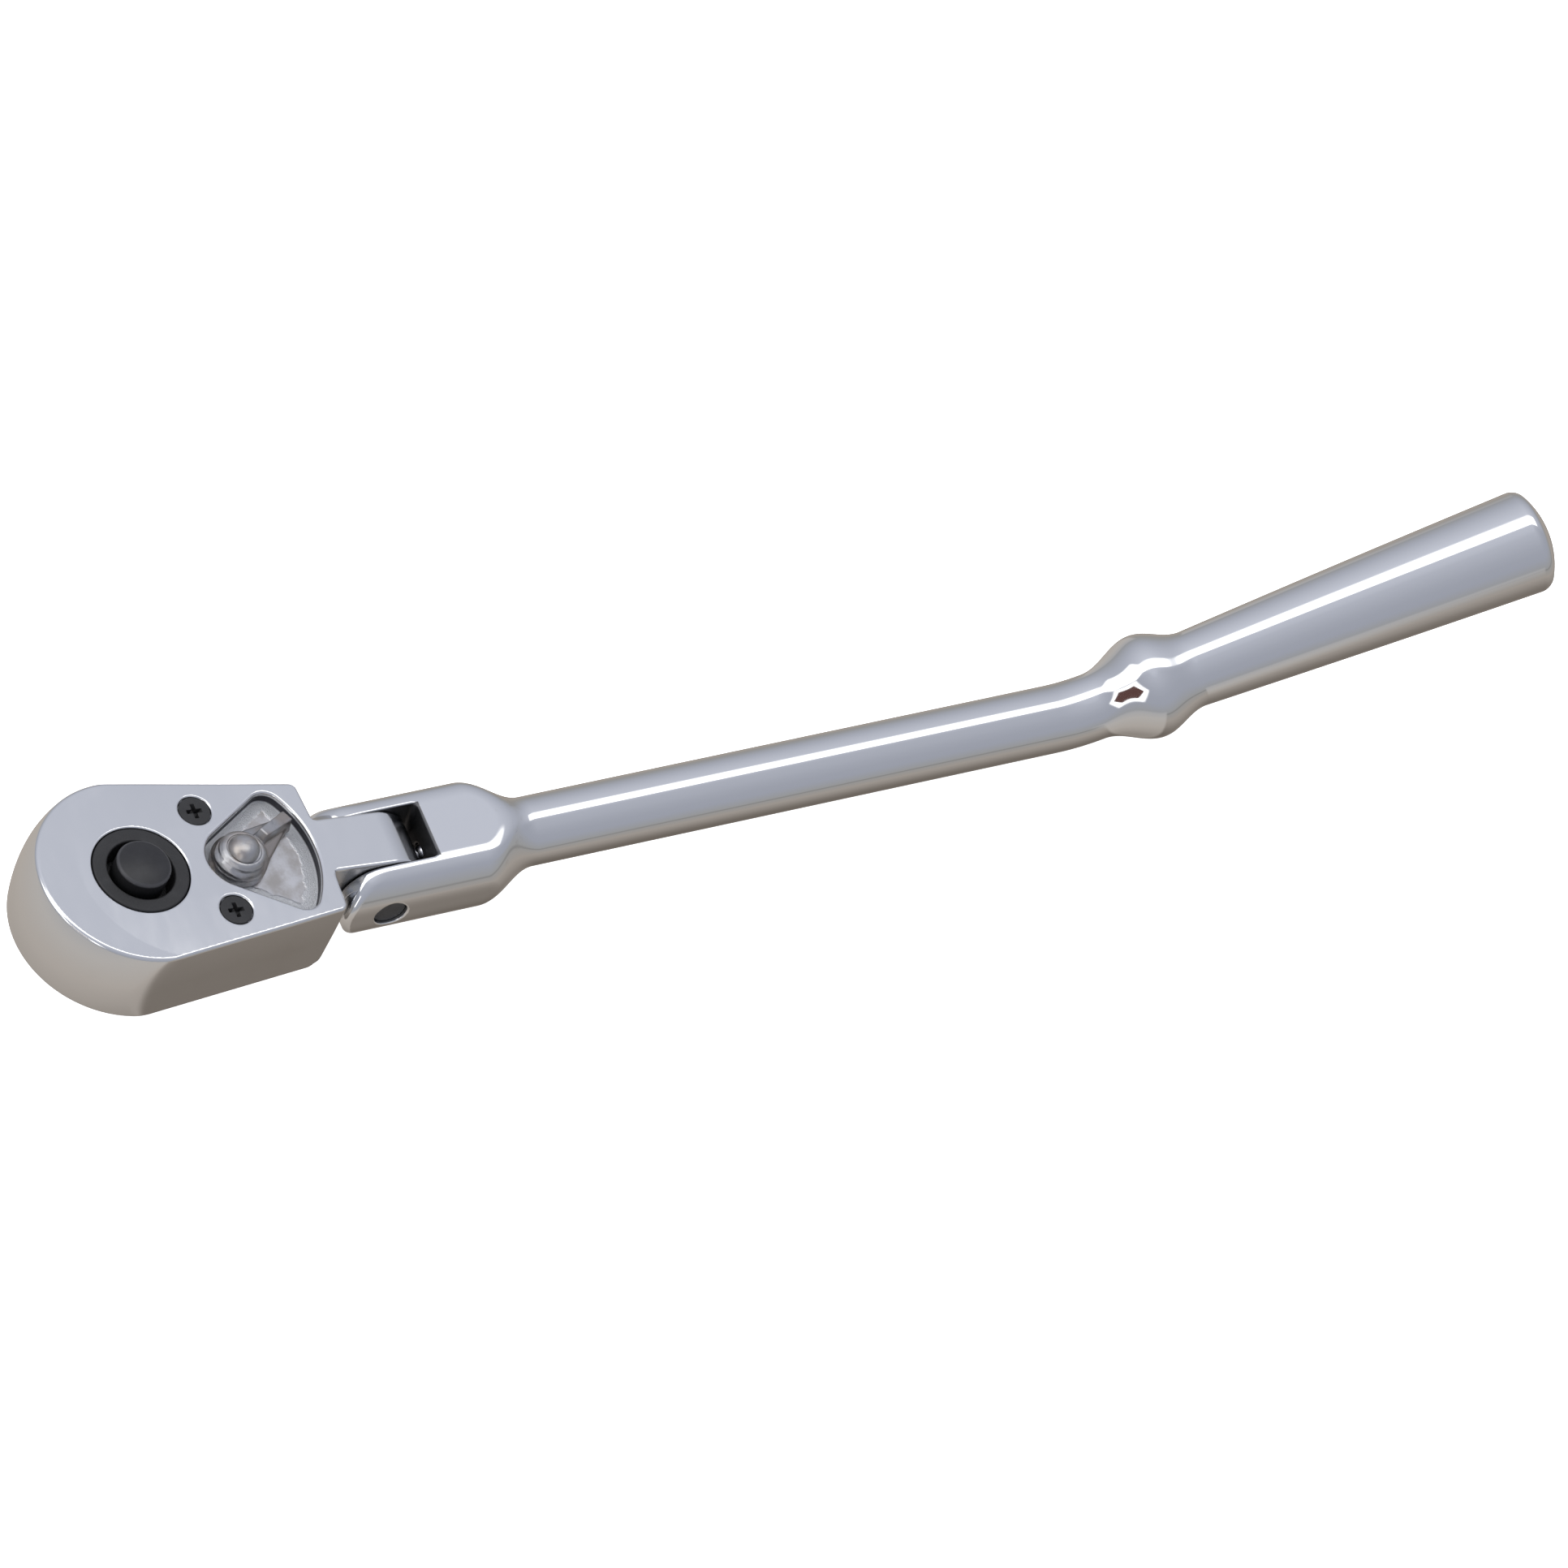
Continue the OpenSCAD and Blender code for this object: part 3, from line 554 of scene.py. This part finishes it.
def headPlanField(x, y, z):                              # the sides and the barrel-shaped nose
    look = headLook
    y = np.abs(y)
    above = np.clip((z - look["widestZ"]) / (topZ - look["widestZ"]), 0, 1) ** 2
    below = np.clip(1 - z / look["widestZ"], 0, 1) ** 2
    noseRadius = look["noseBulge"] - (look["noseBulge"] - look["noseTop"]) * above
    noseRadius = noseRadius - (look["noseBulge"] - look["noseLow"]) * below
    sideReach = look["side"] - (look["side"] - look["sideTop"]) * above
    taper = math.radians(look["sideTaper"])
    along = x * math.cos(taper) - y * math.sin(taper)
    side = x * math.sin(taper) + y * math.cos(taper) - sideReach
    nose = np.hypot(x, y) - noseRadius
    outline = np.where(along < 0, meet(nose, side, 0.8 * (noseRadius - sideReach)), side)
    rear = (x - look["rearX"] + look["rearSlope"] * y) / math.hypot(1, look["rearSlope"])
    return meet(outline, rear, look["cornerEdge"])


def headField(x, y, z):
    look = headLook
    wide = np.abs(y) - look["tongueHalf"]
    plan = fuse(headPlanField(x, y, z), meet(wide, np.maximum(20 - x, x - 60)), look["inner"])
    half = topZ / 2
    section = np.where(x < pinX, np.abs(z - half) - half, np.hypot(x - pinX, z - half) - half)
    fade = 1 - np.clip((x - 20) / 16, 0, 1)
    dip = (np.minimum(x - 8, 0) ** 2 + y * y * fade) / (2 * look["crown"])   # the top face is very slightly domed
    section = np.maximum(section, np.where(x < pinX - 8, z - topZ - 0.05 + np.minimum(dip, look["crownDrop"]), -2.0))
    solid = meet(plan, section, look["edge"])
    heel = meet(x - look["rearX"] + look["rearSlope"] * np.abs(y), -z, look["heel"])
    solid = np.maximum(solid, np.minimum(heel, wide))
    out = np.hypot(x, y)
    above = topZ - recessLook["depth"] - z
    recess = meet(recessOutline(x, y), above, recessLook["fillet"])
    solid = cut(solid, recess, recessLook["rim"])
    solid = cut(solid, out - look["boss"], look["bossEdge"])
    screw = np.hypot(x - look["screwX"], np.abs(y) - look["screwY"])
    solid = cut(solid, meet(screw - look["screwRadius"], topZ - look["screwDepth"] - z), look["screwEdge"])
    solid = cut(solid, screw - 1.5)
    solid = cut(solid, np.hypot(x - leverX, y) - 1.85, 0.1)
    room = np.minimum(out - 11.1, np.minimum(np.hypot(x - leverX, y) - 3.4, np.hypot(x - 13.6, y) - 4.25))
    angle = np.abs(np.arctan2(y, x)) - math.radians(37)
    room = np.minimum(room, np.maximum(out - 14.4, angle * 8))
    solid = cut(solid, meet(room, z - 10.4))
    lid = hullOfTwo(x, y, 0, 0, 15.4, 18, 0, 10.8)
    solid = cut(solid, meet(lid, z - 2.4), 0.15)
    return cut(solid, np.hypot(x - pinX, z - half) - look["pin"], 0.2)


def makeHead():
    xs = steps(-19.5, pinX + 8.5, 0.24)
    ys = steps(-18.72, 18.72, 0.24)
    zs = steps(-0.48, 16.8, 0.24)
    return carve("head_casting", headField, xs, ys, zs, headSpace, most=195000)


def lidField(x, y, z):
    plate = meet(hullOfTwo(x, y, 0, 0, 15.32, 18, 0, 10.72), band(z, 0.02, 2.35), 0.2)
    plate = cut(plate, np.hypot(x, y) - 8.1, 0.3)
    screw = np.hypot(x - headLook["screwX"], np.abs(y) - headLook["screwY"])
    return cut(plate, screw - 1.45, 0.2)


# Drive gear, with its square and its round black top

driveLook = {"top": 8.3, "hole": 5.8, "holeZ": 10.9, "journal": 8.0, "tip": 10.8, "tooth": 0.9, "teeth": 36,
             "toothLow": 2.6, "toothHigh": 10.2, "square": 4.7625, "length": 11.0, "bevel": 0.8,
             "ball": 1.85, "ballZ": -6.0, "grooveZ": 12.0, "drop": 0.12}


def driveField(x, y, z):
    look = driveLook
    out = np.hypot(x, y)
    topFace = topZ - look["drop"]
    stem = meet(out - look["top"], band(z, look["toothLow"] + 0.5, topFace), 0.3)
    journal = meet(out - look["journal"], band(z, 0, 6), 0.3)
    turn = np.arctan2(y, x) * look["teeth"] / (2 * math.pi)
    saw = np.abs(turn - np.floor(turn) - 0.5) * 2        # 0 at a tooth's tip, 1 at the root
    flank = (out - look["tip"] + look["tooth"] * np.clip(saw - 0.12, 0, 1)) * 0.75
    gear = meet(np.maximum(flank, out - look["tip"]), band(z, look["toothLow"], look["toothHigh"]), 0.12)
    side = meet(np.abs(x) - look["square"], np.abs(y) - look["square"], 0.7)
    square = meet(side, band(z, -look["length"], 3), look["bevel"])
    solid = np.minimum(np.minimum(stem, journal), gear)
    solid = fuse(solid, square, 0.4)
    solid = cut(solid, meet(out - look["hole"], look["holeZ"] - z), 0.35)
    solid = cut(solid, meet(out - 2.05, -9.9 - z), 0.1)
    ball = meet(np.hypot(y, z - look["ballZ"]) - look["ball"], -x)
    solid = cut(solid, ball, 0.12)
    return cut(solid, meet(band(z, look["grooveZ"], look["grooveZ"] + 1.2), 7.45 - out))


# Release button

buttonLook = {"radius": 4.7, "proud": 2.35, "edgeDrop": 0.7, "bead": 0.42, "low": 13.2, "bore": 3.65}


def buttonField(x, y, z):
    look = buttonLook
    out = np.hypot(x, y)
    top = topZ + look["proud"]
    sphere = (look["radius"] ** 2 + look["edgeDrop"] ** 2) / (2 * look["edgeDrop"])
    dome = np.where(z > top - 6, np.hypot(out, z - top + sphere) - sphere, -3.0)
    cap = meet(meet(out - look["radius"], dome, look["bead"]), look["low"] - z, 0.2)
    hollow = meet(np.maximum(out - look["bore"], 2.1 - out), z - top + 1.7)
    cap = cut(cap, hollow, 0.1)
    return cut(cap, meet(out - 1.4, z - top + 1.7))


# Reversing lever: a stepped round hub, a sloping arm and a finger tab along it

leverLook = {"lift": 0.15, "hubTop": 4.4, "reach": 12.2, "armWidth": 4.6, "tipWidth": 1.3,
             "tabFrom": 4.7, "tabWidth": 1.9, "tabHigh": 5.05, "tabEnd": 3.9, "postRadius": 2.8, "postHeight": 2.0,
             "hubHeights": [0.1, 1.7, 2.1, 2.6, 3.1, 3.7, 4.2, 4.6],
             "hubRadii": [4.8, 4.8, 4.5, 4.4, 4.1, 4.05, 3.7, 3.4],
             "armPlaces": [0, 4, 8, 12.2], "armHeights": [3.3, 3.1, 2.75, 2.25]}


def leverField(x, y, z):
    look = leverLook
    out = np.hypot(x, y)
    profile = np.interp(z, look["hubHeights"], look["hubRadii"])
    hub = meet((out - profile) * 0.85, band(z, look["lift"], look["hubTop"]), 0.3)
    arm = hullOfTwo(x, y, 0, 0, look["armWidth"], look["reach"] - 1.5, 0, look["tipWidth"])
    roof = z - np.interp(x, look["armPlaces"], look["armHeights"]) + np.maximum(np.abs(y) - 0.9, 0) * 0.4
    arm = meet(meet(arm, roof, 0.5), look["lift"] - z, 0.2)
    arm = meet(arm, x - look["reach"], 0.35)
    ends = [look["tabFrom"], look["reach"]]
    ridge = np.interp(x, ends, [look["tabHigh"], look["tabEnd"]])
    half = np.interp(x, ends, [look["tabWidth"] / 2 - 0.1, look["tabWidth"] / 2 + 0.1])
    half = half + np.clip(ridge - z, 0, 3) * 0.14
    tab = meet(np.abs(y) - half, z - ridge, 0.18)
    tab = meet(tab, look["tabFrom"] - x + (z - 4.2) * 0.35, 0.25)
    tab = meet(tab, x - look["reach"] + 0.1 + (z - 2.5) * 0.12, 0.25)
    tab = np.maximum(tab, 0.6 - z)
    solid = fuse(fuse(hub, arm, 0.6), tab, 0.3)
    solid = cut(solid, meet(out - look["postRadius"] - 0.15, look["hubTop"] - 0.15 - z), 0.12)
    return cut(solid, out - 1.85, 0.1)


def rivetField(x, y, z):
    look = leverLook
    turn = np.arctan2(y, x)
    out = np.hypot(x, y) - 0.11 * np.sin(2 * turn + 0.6) - 0.06 * np.sin(3 * turn + 2.0)       # not quite round
    sphere = (look["postRadius"] ** 2 + look["postHeight"] ** 2) / (2 * look["postHeight"])
    top = look["hubTop"] + look["postHeight"]
    dome = meet(np.hypot(out, z - top + sphere) - sphere, z - top + 0.15, 0.6)
    dome = meet(dome, look["hubTop"] - 0.12 - z, 0.15)
    shank = meet(out - 1.7, band(z, -11.0, 5.0), 0.1)
    shank = cut(shank, meet(1.4 - out, band(z, -4.1, -3.5)))
    return np.minimum(dome, shank)


# Small black parts


screwLook = {"sunk": 0.22, "head": 2.78, "shank": 1.42, "cone": 1.55, "arm": 1.45, "halfSlot": 0.37, "slotDeep": 1.2}


def screwField(x, y, z):
    look = screwLook
    top = topZ - look["sunk"]
    out = np.hypot(x, y)
    heights = [top - look["cone"], top - 0.3, top + 1]
    cone = (out - np.interp(z, heights, [look["shank"], look["head"], look["head"]])) * 0.72
    screw = meet(cone, band(z, top - 3.6, top), 0.12)
    shank = meet(out - look["shank"] + 0.02, band(z, 2.6, top - 0.5), 0.1)
    depth = np.clip(top - z, 0, 2)
    arms = [meet(np.abs(a) - look["arm"] + depth * 0.45, np.abs(b) - look["halfSlot"] + depth * 0.06, 0.08)
            for a, b in ((x, y), (y, x))]
    cross = meet(fuse(arms[0], arms[1], 0.18), top - look["slotDeep"] - z, 0.1)
    return cut(np.minimum(screw, shank), cross, 0.07)


pinLook = {"radius": 2.88, "half": 10.3, "dome": 0.75, "sunk": 0.75, "domeEdge": 0.3}


def pinField(x, y, z):
    look = pinLook
    out = np.hypot(x, z)
    sphere = (look["radius"] ** 2 + look["dome"] ** 2) / (2 * look["dome"])
    dome = np.where(y > 0, np.hypot(out, y - look["half"] - look["dome"] + sphere) - sphere, -3.0)
    pin = meet(meet(out - look["radius"], dome, look["domeEdge"]), look["sunk"] - look["half"] - y, 0.25)
    return cut(pin, meet(out - 0.5, y + look["half"] - 0.4), 0.15)


def joined(name, pieces):                                # several carved meshes as one piece
    target = pieces[0]
    with bpy.context.temp_override(active_object=target, object=target, selected_editable_objects=pieces):
        bpy.ops.object.join()
    target.name = name
    return target


def finished(piece, material, body, slot, *nodes):
    piece.data.materials.clear()
    piece.data.materials.append(material)
    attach(piece, body)
    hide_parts(*nodes)
    return piece


mirror = polishedChrome()
satin = satinChrome()
satinPlain = satinChrome(False)
blackOxide = darkSteel("blackOxide", (0.018, 0.018, 0.019), (0.034, 0.034, 0.036), 0.42, 4200, 0.00003)
blackSatin = buttonBlack()
cast = castChrome()
bearing = brightSteel("bearingSteel", (0.72, 0.72, 0.74), (0.60, 0.60, 0.61), 0.10, 1500, (1, 1, 0.1), 0.00001)
tool = brightSteel("toolSteel", (0.32, 0.32, 0.33), (0.24, 0.235, 0.23), 0.30, 2200, (1, 1, 0.15), 0.00002)
wireSteel = brightSteel("springSteel", (0.46, 0.46, 0.48), (0.34, 0.33, 0.32), 0.24, 3000, (1, 1, 0.3), 0.00001)
seal = rubber()
print("finishes ready")

finished(makeHandle(), mirror, "handle", "polished_chrome", "handle")
finished(makeHead(), satin, "head", "satin_chrome", "head_body")
lid = carve("cover_lid", lidField, steps(-15.8, 29.2, 0.3), steps(-15.7, 15.7, 0.3), steps(-0.5, 2.9, 0.2),
            headSpace, most=60000)
finished(lid, satinPlain, "head", "satin_chrome", "cover_plate")
ring = steps(-11.2, 11.2, 0.22)
drive = carve("drive_core", driveField, ring, ring, steps(-11.44, 16.5, 0.22), headSpace, most=150000)
finished(drive, blackOxide, "drive", "black_oxide", "drive_gear")
ring = steps(-5.1, 5.1, 0.15)
button = carve("button_cap", buttonField, ring, ring, steps(12.9, 19.05, 0.15), headSpace, most=60000)
finished(button, blackSatin, "button", "black_button", "release_button")
leverSpace = spaceAt(leverPivot - headUp * recessLook["depth"] * 0.001, armLine, headUp)
lever = carve("lever_casting", leverField, steps(-5.4, 12.8, 0.12), steps(-5.4, 5.4, 0.12), steps(-0.2, 5.6, 0.12),
              leverSpace, most=120000)
finished(lever, cast, "lever", "cast_lever", "reversing_lever")
ring = steps(-3.2, 3.2, 0.11)
rivet = carve("lever_rivet", rivetField, ring, ring, steps(-11.4, 6.9, 0.14), leverSpace, most=60000)
finished(rivet, cast, "lever", "cast_lever", "lever_post")
screws = []
ring = steps(-3.1, 3.1, 0.1)
for side in (-1, 1):
    at = headSpace @ Matrix.Translation((headLook["screwX"] * 0.001, side * headLook["screwY"] * 0.001, 0))
    screws.append(carve("screw", screwField, ring, ring, steps(2.2, 16.4, 0.1), at, most=40000))
finished(joined("cover_screw_pair", screws), blackOxide, "head", "black_oxide", "cover_screws")
ring = steps(-3.3, 3.3, 0.15)
pin = carve("hinge_pin", pinField, ring, steps(-10.6, 11.6, 0.2), ring, handleSpace, most=60000)
finished(pin, blackOxide, "handle", "black_oxide", "flex_pin")
print("pieces ready")

kept = {"flex_detent_ball": bearing, "flex_detent_spring": wireSteel, "pawl_pin": bearing, "gear_drag_ring": seal,
        "release_plunger": bearing, "button_spring": wireSteel, "socket_ball": bearing, "post_clip": wireSteel,
        "selector_ball": bearing, "selector_spring": wireSteel, "pawl": tool}
for node, material in kept.items():
    shown = frame["nodes"][node]
    shown.data.materials.clear()
    shown.data.materials.append(material)
    shown.data.shade_smooth()
    if hasattr(shown.data, "set_sharp_from_angle"):
        shown.data.set_sharp_from_angle(angle=math.radians(35))

# Studio

studioLook = {"gain": 1.25, "boxCentre": (0.33, 0.34, 1.5), "boxSize": (1.5, 0.62), "boxPower": 9.0, "floorGlow": 0.9,
              "boxGlow": 1.5, "card": (0.10, 0.05, 0.045), "board": (-177, -172, -134, -126),
              "boardTilt": (11, 16, 37, 43),
              "cardTurn": (-168, -166, -142, -140), "cardTilt": (17, 19, 33, 35)}
farLevels = [(-90, 95), (-60, 118), (-29, 150), (-15, 143), (-3, 148), (6, 156), (20, 167), (34, 178), (49, 188),
             (60, 196), (75, 197), (90, 190)]
nearLevels = [(-90, 80), (-69, 96), (-59, 108), (-50, 120), (-41, 134), (-28, 149), (-14, 148), (-11, 128), (-8, 150),
              (1, 152), (15, 155), (30, 157), (45, 162), (60, 169), (73, 175), (87, 187)]
groundLevels = [(-90, 128), (-60, 150), (-45, 162), (-20, 170), (0, 160)]


def levelStops(levels):
    stops = []
    for angle, level in levels:                          # bluish above the horizon, warm below it
        blue = 12 * min(max((angle + 8) / 20, 0), 1)
        warm = 7 * min(max((-angle - 8) / 20, 0), 1)
        stops.append((0.5 + 0.5 * math.sin(math.radians(angle)), tone(level, warm - blue * 0.15, blue * 0.12, blue - warm)))
    return stops


def within(value, edges):                                # 1 between the two middle edges, 0 outside the outer ones
    return value.fade(edges[0], edges[1]) * (1 - value.fade(edges[2], edges[3]))


def studioWorld():
    world = bpy.data.worlds.new("studio")
    scene.world = world
    recipe = Recipe("studio", world)
    look = recipe.add("ShaderNodeTexCoord", output="Generated")
    x, y, z = [recipe.add("ShaderNodeSeparateXYZ", None, {0: look}, axis) for axis in range(3)]
    far, near, ground = [recipe.add("ShaderNodeValToRGB", {"stops": levelStops(levels)}, {0: z * 0.5 + 0.5})
                         for levels in (farLevels, nearLevels, groundLevels)]
    colour = recipe.blend(y.fade(-0.12, 0.25), near, far)
    colour = recipe.blend((1 - x.fade(0.22, 0.34)) * (1 - z.fade(-0.14, -0.04)), colour, ground)
    up = z.most(0.02)
    across, along = y / up, x / up                       # the ceiling's own plane
    wide = (1 - along.fade(-1.2, -0.5)) * along.fade(-2.9, -2.3)
    box = across.fade(0.05 - wide * 0.16, 0.10 - wide * 0.16) * (1 - across.fade(0.40 + wide * 0.45, 0.56 + wide * 0.55))
    box = box * (1 - along.fade(0.8, 1.1)) * along.fade(-3.0, -2.4) * z.fade(0.2, 0.3)
    turn = recipe.maths("ARCTAN2", y, x) * (180 / math.pi)
    tilt = recipe.maths("ARCSINE", z) * (180 / math.pi)
    board = within(turn, studioLook["board"]) * within(tilt, studioLook["boardTilt"])
    card = within(turn, studioLook["cardTurn"]) * within(tilt, studioLook["cardTilt"])
    colour = recipe.blend(box.most(board), colour, (studioLook["boxGlow"],) * 3)
    colour = recipe.blend(card, colour, studioLook["card"])
    back = recipe.add("ShaderNodeBackground", None, {0: colour, 1: studioLook["gain"]})
    recipe.add("ShaderNodeOutputWorld", None, {0: back})


def areaLight(name, place, size, power, aim):
    data = bpy.data.lights.new(name, "AREA")
    data.shape = "RECTANGLE"
    data.size, data.size_y = size
    data.energy = power
    lamp = bpy.data.objects.new(name, data)
    lamp.location = place
    lamp.rotation_euler = (Vector(place) - Vector(aim)).to_track_quat("Z", "Y").to_euler()
    lamp.visible_glossy = False                          # the world shows the box in reflections
    scene.collection.objects.link(lamp)


def paleFloor(height):
    mesh = bpy.data.meshes.new("floor")
    half = 4.0
    corners = [(-half, -half, height), (half, -half, height), (half, half, height), (-half, half, height)]
    mesh.from_pydata(corners, [], [(0, 1, 2, 3)])
    floor = bpy.data.objects.new("floor", mesh)
    scene.collection.objects.link(floor)
    recipe = Recipe("paleFloor")
    place, x, y, z = recipe.spot()
    mesh.materials.append(recipe.shade(Base_Color=(0.9, 0.9, 0.9), Roughness=0.9, Specular_IOR_Level=0.0,
                                       Emission_Color=(1.0, 1.0, 1.0), Emission_Strength=studioLook["floorGlow"]))
    floor.visible_glossy = False


studioWorld()
areaLight("softBox", studioLook["boxCentre"], studioLook["boxSize"], studioLook["boxPower"], (0.33, 0.34, 0))
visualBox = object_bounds()
paleFloor(visualBox[0].z - 0.0002)
print("studio ready")
